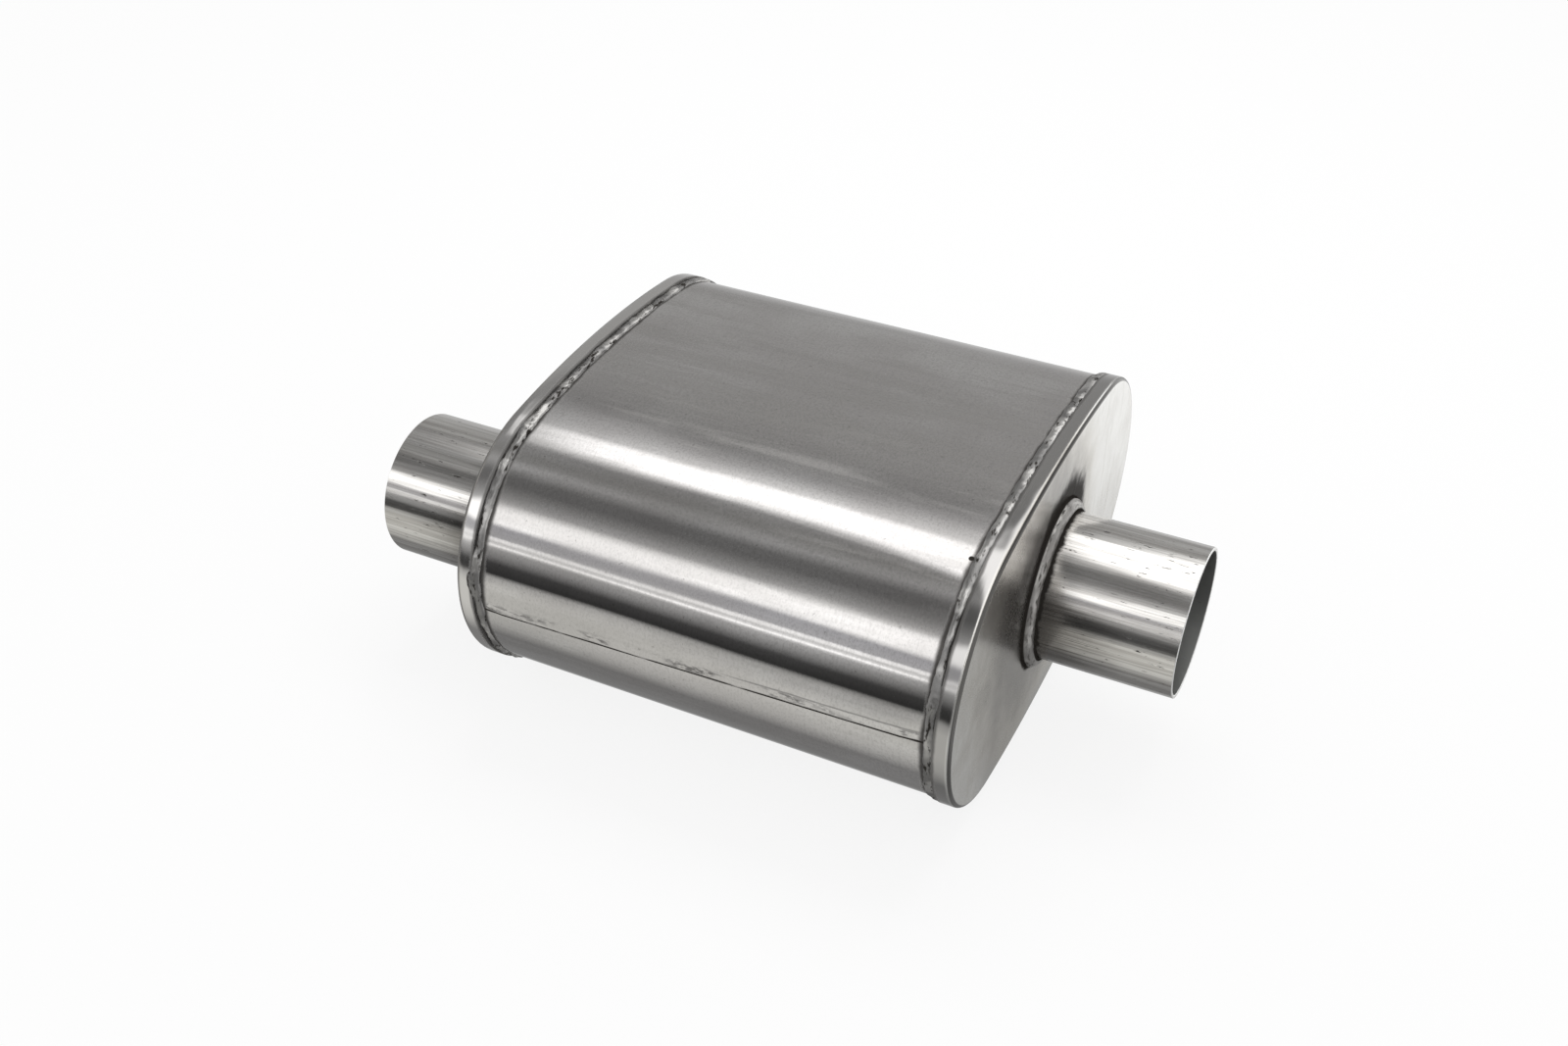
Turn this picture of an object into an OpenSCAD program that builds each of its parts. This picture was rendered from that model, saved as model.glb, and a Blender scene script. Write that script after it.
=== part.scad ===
// Oval stainless exhaust silencer: a wrapped sheet shell closed by two pressed
// caps, with an offset inlet stub, a central outlet stub and, inside, a mitred
// perforated core held by two baffles and packed with wool and fibre.
// X runs from inlet to outlet, Y across the wide section and Z up. The origin is
// the middle of the overall box.

/* [Casing] */
// Width over the shell
shell_w = 228.6; // [215:0.2:255]
// Height over the shell
shell_h = 125; // [115:0.5:145]
// Length over the two cap faces
body_len = 216; // [205:1:260]
// Thickness of the shell sheet
shell_t = 1.2; // [0.8:0.1:2]
// Distance of the lap seam below the middle, measured along the near side
seam_drop = 1; // [0:0.5:40]
// Width over which the lapped sheet edge rises from the surface
lap_w = 12; // [8:1:20]
// Height of the lapped sheet edge above the surface
lap_t = 0.8; // [0.5:0.1:1.2]

/* [Caps] */
// Thickness of the cap sheet
cap_t = 1.5; // [1:0.1:2]
// Length of the cap's skirt, measured from the face
cap_skirt = 7.5; // [7:0.5:18]
// Inside radius of the bend between face and skirt
cap_bend = 1.2; // [0.8:0.1:3]
// Gap between the skirt and the shell
cap_fit = 0.1; // [0.05:0.05:0.3]
// Length of the collar drawn inwards round the pipe
cap_collar = 6; // [4:0.5:6]
// Gap between the shell's end and the cap's bend
shell_stop = 0.3; // [0.1:0.1:1]

/* [Pipes] */
// Outside diameter of both stub pipes
pipe_od = 63.5; // [57:0.1:66]
// Wall of the stub pipes
pipe_wall = 1.5; // [1:0.1:2.5]
// Length of the inlet stub outside its cap
inlet_stub = 58; // [40:1:90]
// Length of the outlet stub outside its cap
outlet_stub = 61; // [40:1:90]
// Distance of the inlet pipe from the middle, towards the near side
inlet_offset = 54; // [40:1:68]
// Gap between a pipe and the hole in its cap
pipe_fit = 0.15; // [0.1:0.05:0.3]
// Length of pipe inside the cap
pipe_reach = 18; // [18:0.5:20]

/* [Core] */
// Wall of the core's three tubes
core_wall = 1.2; // [0.9:0.1:1.6]
// Gap between a core end and the pipe in it or the baffle round it
slip_fit = 0.15; // [0.1:0.05:0.3]
// Length of each core end that is slipped over its pipe
slip_len = 9; // [5:0.5:9]
// Distance from a cap's face to the mitre, on the centre line
mitre_set = 42; // [41:0.5:46]
// Root gap of a mitre, which its weld fills
mitre_gap = 2; // [1.6:0.1:2.4]
// Diameter of the perforations
hole_d = 5; // [3:0.5:6]
// Number of perforations in each ring
holes_round = 12; // [8:1:15]
// Distance between rings of perforations
ring_pitch = 9.5; // [8:0.5:14]
// Plain length of the perforated tube between its first ring and the mitre
plain_len = 14; // [12:0.5:20]

/* [Packing] */
// Thickness of the steel-wool sleeve on the core
wool_t = 4; // [3:0.5:8]
// Gap between the packing and the metal or wool beside it
pack_fit = 0.3; // [0.1:0.1:0.5]

/* [Baffles] */
// Thickness of the baffle sheet
baffle_t = 1.2; // [1:0.1:2]
// Distance from a cap's face to the baffle
baffle_set = 24; // [22:0.5:25]
// Length of the baffle's skirt
baffle_skirt = 9; // [6:0.5:10]
// Inside radius of the baffle's bend
baffle_bend = 2; // [1:0.5:4]
// Gap between the baffle's skirt and the shell
baffle_fit = 0.2; // [0.1:0.1:0.5]
// Length of the collar drawn round the core
baffle_collar = 5; // [3:0.5:6]

/* [Welds] */
// Width of the bead along each cap's skirt
bead_w = 4.5; // [3:0.1:6]
// Distance of the bead's crest below the skirt's surface
bead_low = 0.2; // [0.1:0.1:0.5]
// Distance of the bead's crest from the skirt's edge
bead_crest = 1; // [0.5:0.1:1.5]
// Leg of a pipe's weld along the pipe
fillet_pipe = 4; // [2.5:0.1:6]
// Leg of a pipe's weld along the cap
fillet_face = 4.5; // [2.5:0.1:6]
// Part of both legs that the weld's bulge reaches out to
fillet_bulge = 0.65; // [0.5:0.05:0.8]
// Radius of the mitre welds' bead
mitre_bead = 1.6; // [1.5:0.1:2]
// Length of a tack weld
tack_len = 14; // [8:1:20]
// Leg of a tack weld
tack_leg = 2; // [1.5:0.1:2]

/* [Hidden] */
$fn = 128;
// Facets of a full circle of the wide crown arcs
crown_fn = 720;
// Facets of a small bend or bead section
small_fn = 32;
// Overlap of the pieces that one solid is joined from, and reach of a cut
joint = 1;
// Degrees in one radian, which turns a length of arc over its radius into an angle
deg = 180 / PI;

// Shell outline: two side arcs and two flat crown arcs, tangent to each other.
// The lines from the side centres to the crown centres have a run, a rise and a
// length in whole steps, so both arcs end on exactly the same line
lean_run = 15;
lean_rise = (lean_run * lean_run - 1) / 2;
lean_len = (lean_run * lean_run + 1) / 2;
half_h = shell_h / 2;
crown_step = round(500 * (shell_w - shell_h) / (lean_run - 1)) / 1000;
side_r = half_h - crown_step;
side_c = lean_run * crown_step;
crown_c = lean_rise * crown_step;
crown_r = side_r + lean_len * crown_step;

// Places of the two cap faces along X
overall = inlet_stub + body_len + outlet_stub;
inlet_face = inlet_stub - overall / 2;
outlet_face = overall / 2 - outlet_stub;

// Distances outwards from the shell outline, and inwards from a cap's face
rim_off = cap_fit + cap_t;
shell_end = cap_bend + cap_t + shell_stop;
baffle_off = -shell_t - baffle_fit;
pipe_end = cap_t + pipe_reach;
core_end = pipe_end - slip_len;
pack_start = baffle_set + baffle_t + pack_fit;

// Radii round the gas path
pipe_r = pipe_od / 2;
bore_r = pipe_r - pipe_wall;
core_bore = pipe_r + slip_fit;
core_r = core_bore + core_wall;
guide_r = core_r + slip_fit;
collar_r = guide_r + baffle_t;
wool_r = guide_r + wool_t;
inlet_y = -inlet_offset;
outlet_y = 0;

// The core's slanted stretch, between the two mitres
slant = [body_len - 2 * mitre_set, outlet_y - inlet_y];
slant_a = atan2(slant.y, slant.x);
slant_len = norm(slant);
// Radius of the mitres' weld rings. The cut tubes end in a slightly long circle,
// so it lies midway between that circle's two half widths
mitre_r = (core_bore + core_r) / 2 * (1 + 1 / cos(slant_a / 2)) / 2;
ring_room = slant_len - 2 * plain_len;
ring_count = floor(ring_room / ring_pitch) + 1;

// Frames: a section drawn in X and Y here stands in Y and Z of the part, and
// its height runs inwards from the cap's face
module at_inlet() {
    translate([inlet_face, 0, 0]) rotate([90, 0, 90]) children();
}

module at_outlet() {
    translate([outlet_face, 0, 0]) mirror([1, 0, 0]) rotate([90, 0, 90]) children();
}

// Along the core's slanted stretch, from the inlet's mitre on
module on_slant() {
    translate([inlet_face + mitre_set, inlet_y, 0]) rotate([0, 0, slant_a])
        rotate([0, 90, 0]) children();
}

// Zones of the section that belong to the crown arc and to a side arc. The crown's
// may reach over its two edges, so that cuts made side by side overlap
module crown_zone(over = 0) {
    polygon([[-side_c - over, 0], [side_c + over, 0],
             [2 * side_c + over, crown_c], [-2 * side_c - over, crown_c]]);
}

module side_zone() {
    polygon([[side_c, 0], [2 * side_c, -crown_c], [4 * side_c, -crown_c],
             [4 * side_c, crown_c], [2 * side_c, crown_c]]);
}

// Sweeps a section round the shell outline. The section's X is the distance
// outwards from it, and its Y the distance inwards from the cap's face
module oval_sweep(over = 0) {
    for (turn = [0, 180]) {
        rotate([0, 0, turn]) {
            intersection() {
                translate([side_c, 0, 0]) rotate_extrude() translate([side_r, 0]) children();
                translate([0, 0, -body_len]) linear_extrude(2 * body_len) side_zone();
            }
            intersection() {
                translate([0, -crown_c, 0]) rotate_extrude($fn = crown_fn)
                    translate([crown_r, 0]) children();
                translate([0, 0, -body_len]) linear_extrude(2 * body_len) crown_zone(over);
            }
        }
    }
}

// The full oval section, a distance outside the shell's outline
module oval(off) {
    for (turn = [0, 180]) {
        rotate([0, 0, turn]) {
            intersection() {
                translate([side_c, 0]) circle(r = side_r + off);
                side_zone();
            }
            intersection() {
                translate([0, -crown_c]) circle(r = crown_r + off, $fn = crown_fn);
                crown_zone();
            }
        }
    }
}

module tube(outer, inner, height) {
    difference() {
        cylinder(r = outer, h = height);
        translate([0, 0, -joint]) cylinder(r = inner, h = height + 2 * joint);
    }
}

// An oval block whose edge round the face at zero height is rounded
module rounded_block(off, round_r, height) {
    difference() {
        linear_extrude(height) oval(off);
        oval_sweep(joint) translate([off, 0]) difference() {
            translate([-round_r, -joint]) square(round_r + joint);
            translate([-round_r, round_r]) circle(r = round_r, $fn = small_fn);
        }
    }
}

// An oval sheet whose rim is bent into a skirt towards positive heights
module pan(off, inside, sheet, skirt) {
    difference() {
        rounded_block(off, inside + sheet, skirt);
        translate([0, 0, sheet]) rounded_block(off - sheet, inside, skirt);
    }
}

// Shell

// The lapped edge: full height at the seam, fading into the wall above it
module lap_edge() {
    steps = 6;
    seam_a = seam_drop / side_r * deg;
    step_a = lap_w / side_r * deg / steps;
    face = [for (i = [0 : steps]) let (a = seam_a - i * step_a)
        (side_r + lap_t * (1 - i / steps)) * [cos(a), sin(a)]];
    root = [for (i = [steps : -1 : 0]) let (a = seam_a - i * step_a)
        (side_r - shell_t / 2) * [cos(a), sin(a)]];
    start = cap_skirt + bead_w;
    translate([-side_c, 0, start]) mirror([1, 0, 0]) mirror([0, 1, 0])
        linear_extrude(body_len - 2 * start) polygon(concat(face, root));
}

module shell() {
    color([0.66, 0.65, 0.63]) at_inlet() {
        translate([0, 0, shell_end]) linear_extrude(body_len - 2 * shell_end) difference() {
            oval(0);
            oval(-shell_t);
        }
        lap_edge();
    }
}

// Caps, with the pipe's hole at a place across the width

module end_cap(pipe_y) {
    hole_r = pipe_r + pipe_fit;
    difference() {
        union() {
            pan(rim_off, cap_bend, cap_t, cap_skirt);
            translate([pipe_y, 0, 0]) cylinder(r = hole_r + cap_t, h = cap_t + cap_collar);
        }
        translate([pipe_y, 0, -joint]) cylinder(r = hole_r, h = cap_t + cap_collar + 2 * joint);
    }
}

module inlet_cap() {
    color([0.72, 0.71, 0.68]) at_inlet() end_cap(inlet_y);
}

module outlet_cap() {
    color([0.72, 0.71, 0.68]) at_outlet() end_cap(outlet_y);
}

// Beads that join the skirts to the shell

module cap_weld() {
    crest = rim_off - bead_low;
    run = bead_w - bead_crest;
    bead_r = (run * run + crest * crest) / (2 * crest);
    translate([0, 0, cap_skirt]) oval_sweep() intersection() {
        translate([crest - bead_r, bead_crest]) circle(r = bead_r);
        square([crest, bead_w]);
    }
}

module inlet_cap_weld() {
    color([0.55, 0.54, 0.53]) at_inlet() cap_weld();
}

module outlet_cap_weld() {
    color([0.55, 0.54, 0.53]) at_outlet() cap_weld();
}

// Stub pipes

module stub_pipe(pipe_y, stub) {
    translate([pipe_y, 0, -stub]) tube(pipe_r, bore_r, stub + pipe_end);
}

module inlet_pipe() {
    color([0.68, 0.66, 0.63]) at_inlet() stub_pipe(inlet_y, inlet_stub);
}

module outlet_pipe() {
    color([0.68, 0.66, 0.63]) at_outlet() stub_pipe(outlet_y, outlet_stub);
}

// Welds round the pipes, on the caps' outer faces: a bulged fillet section
module pipe_weld(pipe_y) {
    translate([pipe_y, 0, 0]) rotate_extrude() translate([pipe_r, 0])
        polygon([[0, 0], [fillet_face, 0],
                 fillet_bulge * [fillet_face, -fillet_pipe], [0, -fillet_pipe]]);
}

module inlet_pipe_weld() {
    color([0.42, 0.41, 0.40]) at_inlet() pipe_weld(inlet_y);
}

module outlet_pipe_weld() {
    color([0.42, 0.41, 0.40]) at_outlet() pipe_weld(outlet_y);
}

// Baffles, with a skirt towards the cap and a collar towards the middle

module baffle(pipe_y) {
    difference() {
        union() {
            translate([0, 0, baffle_set + baffle_t]) mirror([0, 0, 1])
                pan(baffle_off, baffle_bend, baffle_t, baffle_skirt);
            translate([pipe_y, 0, baffle_set])
                cylinder(r = collar_r, h = baffle_t + baffle_collar);
        }
        translate([pipe_y, 0, baffle_set - joint])
            cylinder(r = guide_r, h = baffle_t + baffle_collar + 2 * joint);
    }
}

module inlet_baffle() {
    color([0.60, 0.60, 0.58]) at_inlet() baffle(inlet_y);
}

module outlet_baffle() {
    color([0.60, 0.60, 0.58]) at_outlet() baffle(outlet_y);
}

// Section of a tack weld, its square corner at the origin
module tack_section(leg_x, leg_y) {
    polygon([[0, 0], [leg_x, 0], [0, leg_y]]);
}

// A short tack along an arc about the origin, centred on a direction
module arc_tack(radius, middle_a, facets) {
    tack_a = tack_len / radius * deg;
    rotate([0, 0, middle_a - tack_a / 2]) rotate_extrude(angle = tack_a, $fn = facets)
        translate([radius, 0]) children();
}

// Four tacks between a baffle's skirt and the shell, on the middle of each arc
module baffle_tacks() {
    edge = baffle_set + baffle_t - baffle_skirt;
    for (turn = [0, 180]) {
        rotate([0, 0, turn]) {
            translate([side_c, 0, edge]) arc_tack(side_r - shell_t, 0, $fn)
                tack_section(baffle_off + shell_t - baffle_t, -tack_leg);
            translate([0, -crown_c, edge]) arc_tack(crown_r - shell_t, 90, crown_fn)
                tack_section(baffle_off + shell_t - baffle_t, -tack_leg);
        }
    }
}

module inlet_baffle_tacks() {
    color([0.42, 0.41, 0.40]) at_inlet() baffle_tacks();
}

module outlet_baffle_tacks() {
    color([0.42, 0.41, 0.40]) at_outlet() baffle_tacks();
}

// Core: a perforated tube across the offset, mitred to a plain end at each pipe

// The half space beyond a mitre, moved along the slant by a distance. Its flat
// side is the plane that halves the mitre's angle
module past_inlet_mitre(shift) {
    reach = 2 * body_len;
    translate([inlet_face + mitre_set, inlet_y, 0]) rotate([0, 0, slant_a / 2])
        translate([shift, -reach / 2, -reach / 2]) cube(reach);
}

module past_outlet_mitre(shift) {
    reach = 2 * body_len;
    translate([outlet_face - mitre_set, outlet_y, 0]) rotate([0, 0, slant_a / 2 + 180])
        translate([shift, -reach / 2, -reach / 2]) cube(reach);
}

// A tube on the slant between the two mitres, with a gap to each
module slant_tube(outer, inner, gap) {
    intersection() {
        on_slant() translate([0, 0, -outer]) tube(outer, inner, slant_len + 2 * outer);
        past_inlet_mitre(gap);
        past_outlet_mitre(gap);
    }
}

// Rings of holes in the slanted stretch, each ring turned half a step
module perforations() {
    step = 360 / holes_round;
    first = (slant_len - (ring_count - 1) * ring_pitch) / 2;
    on_slant() {
        for (ring = [0 : ring_count - 1], hole = [0 : holes_round - 1]) {
            rotate([0, 0, (hole + (ring % 2) / 2) * step])
                translate([core_bore - joint, 0, first + ring * ring_pitch])
                    rotate([0, 90, 0])
                        cylinder(d = hole_d, h = core_wall + 2 * joint, $fn = small_fn);
        }
    }
}

module core_tube() {
    color([0.58, 0.58, 0.57]) difference() {
        slant_tube(core_r, core_bore, mitre_gap / 2);
        perforations();
    }
}

module inlet_core_end() {
    color([0.62, 0.62, 0.60]) difference() {
        at_inlet() translate([inlet_y, 0, core_end])
            tube(core_r, core_bore, mitre_set + core_r - core_end);
        past_inlet_mitre(-mitre_gap / 2);
    }
}

module outlet_core_end() {
    color([0.62, 0.62, 0.60]) difference() {
        at_outlet() translate([outlet_y, 0, core_end])
            tube(core_r, core_bore, mitre_set + core_r - core_end);
        past_outlet_mitre(-mitre_gap / 2);
    }
}

// A mitre's weld: a ring that fills the root gap, in the mitre's plane
module mitre_weld() {
    rotate([0, 0, slant_a / 2]) rotate([0, 90, 0])
        rotate_extrude() translate([mitre_r, 0]) intersection() {
            circle(r = mitre_bead, $fn = small_fn);
            square([2 * mitre_bead, mitre_gap], center = true);
        }
}

module inlet_mitre_weld() {
    color([0.42, 0.41, 0.40])
        translate([inlet_face + mitre_set, inlet_y, 0]) mitre_weld();
}

module outlet_mitre_weld() {
    color([0.42, 0.41, 0.40])
        translate([outlet_face - mitre_set, outlet_y, 0]) mitre_weld();
}

// Four tacks between a pipe and the edge of the core end slipped over it
module core_tacks(pipe_y) {
    translate([pipe_y, 0, core_end]) for (turn = [0 : 90 : 270]) {
        arc_tack(pipe_r, turn, $fn) tack_section(core_r - pipe_r, -tack_leg);
    }
}

module inlet_core_tacks() {
    color([0.42, 0.41, 0.40]) at_inlet() core_tacks(inlet_y);
}

module outlet_core_tacks() {
    color([0.42, 0.41, 0.40]) at_outlet() core_tacks(outlet_y);
}

// Sound-absorbing layers

module wool_sleeve() {
    color([0.50, 0.49, 0.47]) slant_tube(wool_r, guide_r, mitre_gap / 2 + pack_fit);
}

// The fibre between the baffles, clear of the core, its welds and its sleeve
module packing() {
    room_r = wool_r + pack_fit;
    difference() {
        at_inlet() translate([0, 0, pack_start])
            linear_extrude(body_len - 2 * pack_start) oval(-shell_t - pack_fit);
        on_slant() translate([0, 0, -mitre_set / 2])
            cylinder(r = room_r, h = slant_len + mitre_set);
        at_inlet() translate([inlet_y, 0, 0]) cylinder(r = room_r - joint, h = mitre_set);
        at_outlet() translate([outlet_y, 0, 0]) cylinder(r = room_r - joint, h = mitre_set);
    }
}

// A block that covers the packing's far side of the core's slanted line
module far_side() {
    reach = 2 * body_len;
    translate([inlet_face + mitre_set, inlet_y, 0]) rotate([0, 0, slant_a])
        translate([-reach, 0, -reach / 2]) cube([2 * reach, reach, reach]);
}

module near_packing() {
    color([0.85, 0.80, 0.62]) difference() {
        packing();
        far_side();
    }
}

module far_packing() {
    color([0.85, 0.80, 0.62]) intersection() {
        packing();
        far_side();
    }
}

shell();
inlet_cap();
outlet_cap();
inlet_cap_weld();
outlet_cap_weld();
inlet_pipe();
outlet_pipe();
inlet_pipe_weld();
outlet_pipe_weld();
inlet_baffle();
outlet_baffle();
inlet_baffle_tacks();
outlet_baffle_tacks();
core_tube();
inlet_core_end();
outlet_core_end();
inlet_mitre_weld();
outlet_mitre_weld();
inlet_core_tacks();
outlet_core_tacks();
wool_sleeve();
near_packing();
far_packing();
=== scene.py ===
"""Looks of an oval stainless exhaust silencer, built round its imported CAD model."""

import math

import bmesh
import bpy
from mathutils import Matrix, Vector


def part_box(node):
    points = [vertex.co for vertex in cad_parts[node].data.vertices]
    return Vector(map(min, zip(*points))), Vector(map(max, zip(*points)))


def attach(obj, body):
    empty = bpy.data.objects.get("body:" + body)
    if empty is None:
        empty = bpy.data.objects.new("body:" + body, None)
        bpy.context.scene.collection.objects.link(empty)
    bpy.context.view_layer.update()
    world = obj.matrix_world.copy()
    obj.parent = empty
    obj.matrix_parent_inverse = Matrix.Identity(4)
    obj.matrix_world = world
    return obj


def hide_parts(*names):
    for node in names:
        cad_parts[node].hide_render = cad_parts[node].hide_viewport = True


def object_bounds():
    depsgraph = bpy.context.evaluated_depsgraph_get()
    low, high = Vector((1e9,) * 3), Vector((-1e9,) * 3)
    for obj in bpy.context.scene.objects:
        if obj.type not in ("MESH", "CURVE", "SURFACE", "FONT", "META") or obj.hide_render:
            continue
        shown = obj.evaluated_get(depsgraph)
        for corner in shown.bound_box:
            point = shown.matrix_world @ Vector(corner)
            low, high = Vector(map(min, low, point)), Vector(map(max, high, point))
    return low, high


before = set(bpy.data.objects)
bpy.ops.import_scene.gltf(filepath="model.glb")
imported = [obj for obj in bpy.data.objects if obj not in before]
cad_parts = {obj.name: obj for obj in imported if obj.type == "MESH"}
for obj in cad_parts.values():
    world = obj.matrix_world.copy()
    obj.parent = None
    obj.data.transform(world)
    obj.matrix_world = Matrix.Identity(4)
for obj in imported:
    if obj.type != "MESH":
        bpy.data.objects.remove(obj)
cad_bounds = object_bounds()
bpy.ops.object.select_all(action="DESELECT")

# Camera: it stands before the near side, towards the outlet and above, as in the
# photograph, and is tilted by less than a degree.
CAMERA_PLACE = (0.24167, -0.5464, 0.4350)
CAMERA_AZIMUTH, CAMERA_HEIGHT, CAMERA_TILT = 25.273, 36.326, 0.476  # degrees
camera_turn = (
    Matrix.Rotation(math.radians(CAMERA_AZIMUTH), 4, "Z")
    @ Matrix.Rotation(math.radians(90 - CAMERA_HEIGHT), 4, "X")
    @ Matrix.Rotation(math.radians(CAMERA_TILT), 4, "Z")
)
bpy.ops.object.camera_add(location=CAMERA_PLACE, rotation=camera_turn.to_euler())
camera = bpy.context.object
camera.data.lens = 38.767
camera.data.sensor_width = 36
bpy.context.scene.camera = camera

# Shell: one sheet of stainless steel, wrapped to an oval of two side arcs and two
# flat crown arcs, and lapped along a slightly slanted seam on the near side. It is
# finished with a fine grain that runs round the body.
MM = 0.001
SIDE_R, SIDE_C = 58.8 * MM, 55.5 * MM
CROWN_R, CROWN_C = 476.9 * MM, 414.4 * MM
SIDE_HALF = math.degrees(math.atan2(112, 15))
CROWN_FULL = 180 - 2 * SIDE_HALF
SHELL_T = 1.2 * MM
SEAM_DROP = math.degrees(1 * MM / SIDE_R)
LAP_WIDE = math.degrees(12 * MM / SIDE_R)
LAP_T = 0.8 * MM
LAP_END = 12 * MM
SEAM_SLANT = 28.0  # degrees round the near arc, for each metre along the shell
SLANT_REACH = 45  # degrees up and down the near arc, where the slant has faded


def edit(piece, on=True):
    """Enters or leaves the piece's edit mode, with nothing else selected"""
    if bpy.context.object and bpy.context.object.mode == "EDIT":
        bpy.ops.object.mode_set(mode="OBJECT")
    bpy.ops.object.select_all(action="DESELECT")
    piece.select_set(True)
    bpy.context.view_layer.objects.active = piece
    if on:
        bpy.ops.object.mode_set(mode="EDIT")


def pick(piece, test):
    """Selects the vertices whose place passes the test, in edit mode"""
    mesh = bmesh.from_edit_mesh(piece.data)
    for face in mesh.faces:
        face.select = False
    for edge in mesh.edges:
        edge.select = False
    for vertex in mesh.verts:
        vertex.select = test(vertex.co)
    mesh.select_flush(True)
    bmesh.update_edit_mesh(piece.data)


def draw(name, points):
    """A bent line of edges: one vertex, extruded from point to point"""
    bpy.ops.mesh.primitive_plane_add(size=MM, location=points[0])
    piece = bpy.context.object
    piece.name = piece.data.name = name
    bpy.ops.object.transform_apply()
    edit(piece)
    bpy.ops.mesh.select_all(action="SELECT")
    bpy.ops.mesh.merge(type="CENTER")
    for a, b in zip(points, points[1:]):
        step = Vector(b) - Vector(a)
        bpy.ops.mesh.extrude_region_move(TRANSFORM_OT_translate={"value": step})
    bpy.ops.mesh.select_all(action="SELECT")
    return piece


def bend_round(arcs):
    """Spins what is selected over the top, by arcs of (degrees, steps, centre)"""
    for degrees, steps, centre in arcs:
        bpy.ops.mesh.spin(
            steps=steps,
            angle=math.radians(degrees),
            center=(0, *centre),
            axis=(1, 0, 0),
        )


def close_up(piece, flip=False):
    """Joins the ends of a sweep and points its faces outwards"""
    bpy.ops.mesh.select_all(action="SELECT")
    bpy.ops.mesh.remove_doubles(threshold=0.01 * MM)
    bpy.ops.mesh.normals_make_consistent(inside=flip)
    edit(piece, False)


def finish_with(piece, kind, **settings):
    """Adds a modifier with its settings and applies it"""
    modifier = piece.modifiers.new(kind.lower(), kind)
    for name, value in settings.items():
        setattr(modifier, name, value)
    bpy.ops.object.modifier_apply(modifier=modifier.name)


def smooth(piece, degrees):
    """Shades a piece smooth, apart from edges that bend by more than that"""
    edit(piece, False)
    bpy.ops.object.shade_smooth_by_angle(angle=math.radians(degrees))


class Reading:
    """A socket of a finish's nodes, which takes part in sums as a number does"""

    def __init__(self, finish, socket):
        self.finish, self.socket = finish, socket

    def math(self, operation, *others):
        return self.finish.node(
            "ShaderNodeMath", {"operation": operation}, [self, *others]
        )

    def __add__(self, other):
        return self.math("ADD", other)

    def __sub__(self, other):
        return self.math("SUBTRACT", other)

    def __rsub__(self, other):
        return self.finish.node(
            "ShaderNodeMath", {"operation": "SUBTRACT"}, [other, self]
        )

    def __mul__(self, other):
        return self.math("MULTIPLY", other)

    def __truediv__(self, other):
        return self.math("DIVIDE", other)

    def __pow__(self, other):
        return self.math("POWER", other)

    __radd__, __rmul__ = __add__, __mul__

    def size(self):
        return self.math("ABSOLUTE")

    def ramp(self, low, high):
        """0 below low and 1 above high, or the other way round"""
        return self.finish.node(
            "ShaderNodeMapRange",
            {"interpolation_type": "SMOOTHSTEP"},
            {"Value": self, "From Min": low, "From Max": high},
        )


class Finish:
    """A material, whose nodes are made by one method"""

    def __init__(self, name, tree=None):
        if tree is None:
            self.material = bpy.data.materials.new(name)
            self.material.use_nodes = True
            tree = self.material.node_tree
            self.shader = tree.nodes["Principled BSDF"]
        self.tree = tree

    def feed(self, socket, value):
        if isinstance(value, Reading):
            self.tree.links.new(value.socket, socket)
        else:
            socket.default_value = value

    def node(self, kind, settings, values, out=0):
        node = self.tree.nodes.new(kind)
        for name, value in settings.items():
            if name == "stops":
                ramp = node.color_ramp
                while len(ramp.elements) > 1:
                    ramp.elements.remove(ramp.elements[-1])
                for number, (place, colour) in enumerate(value):
                    if number:
                        ramp.elements.new(place)
                    ramp.elements[number].position = place
                    ramp.elements[number].color = colour
            else:
                setattr(node, name, value)
        pairs = values.items() if isinstance(values, dict) else enumerate(values)
        for name, value in pairs:
            self.feed(node.inputs[name], value)
        return Reading(self, node.outputs[out])

    def place(self, scale=(1, 1, 1), shift=(0, 0, 0)):
        """Object coordinates, moved and then scaled"""
        where = self.node("ShaderNodeTexCoord", {}, {}, out="Object")
        moved = self.node("ShaderNodeVectorMath", {"operation": "SUBTRACT"}, [where, shift])
        return self.node("ShaderNodeVectorMath", {"operation": "MULTIPLY"}, [moved, scale])

    def axes(self, where):
        """The three numbers of a place"""
        node = self.node("ShaderNodeSeparateXYZ", {}, [where]).socket.node
        return [Reading(self, out) for out in node.outputs]

    def noise(self, scale, detail=2, roughness=0.5, shift=(0, 0, 0), where=None):
        """Noise whose scale is in cells per metre along X, Y and Z"""
        return self.node(
            "ShaderNodeTexNoise",
            {},
            {
                "Vector": where or self.place(scale, shift),
                "Scale": 1.0,
                "Detail": detail,
                "Roughness": roughness,
            },
        )

    def mix(self, share, below, above):
        """A colour between two colours"""
        return self.node(
            "ShaderNodeMix",
            {"data_type": "RGBA"},
            {0: share, 6: below, 7: above},
            out=2,
        )

    def bump(self, height, depth, under=None):
        values = {"Height": height, "Distance": depth, "Strength": 1.0}
        if under is not None:
            values["Normal"] = under
        return self.node("ShaderNodeBump", {}, values)

    def set(self, **values):
        for name, value in values.items():
            self.feed(self.shader.inputs[name.replace("_", " ")], value)

    def bare_steel(self, tone, dirt_and_shade, **others):
        """Metal, apart from the share that is matt black: grime and soot, and along the
        shell's seam a painted shadow
        """
        cover = (dirt_and_shade * 1.4).math("MINIMUM", 1.0)
        tone = self.mix(cover, tone, (0.03, 0.027, 0.024, 1))
        self.set(Base_Color=tone, Metallic=1.0 - dirt_and_shade, Specular_IOR_Level=0.0, **others)


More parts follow.
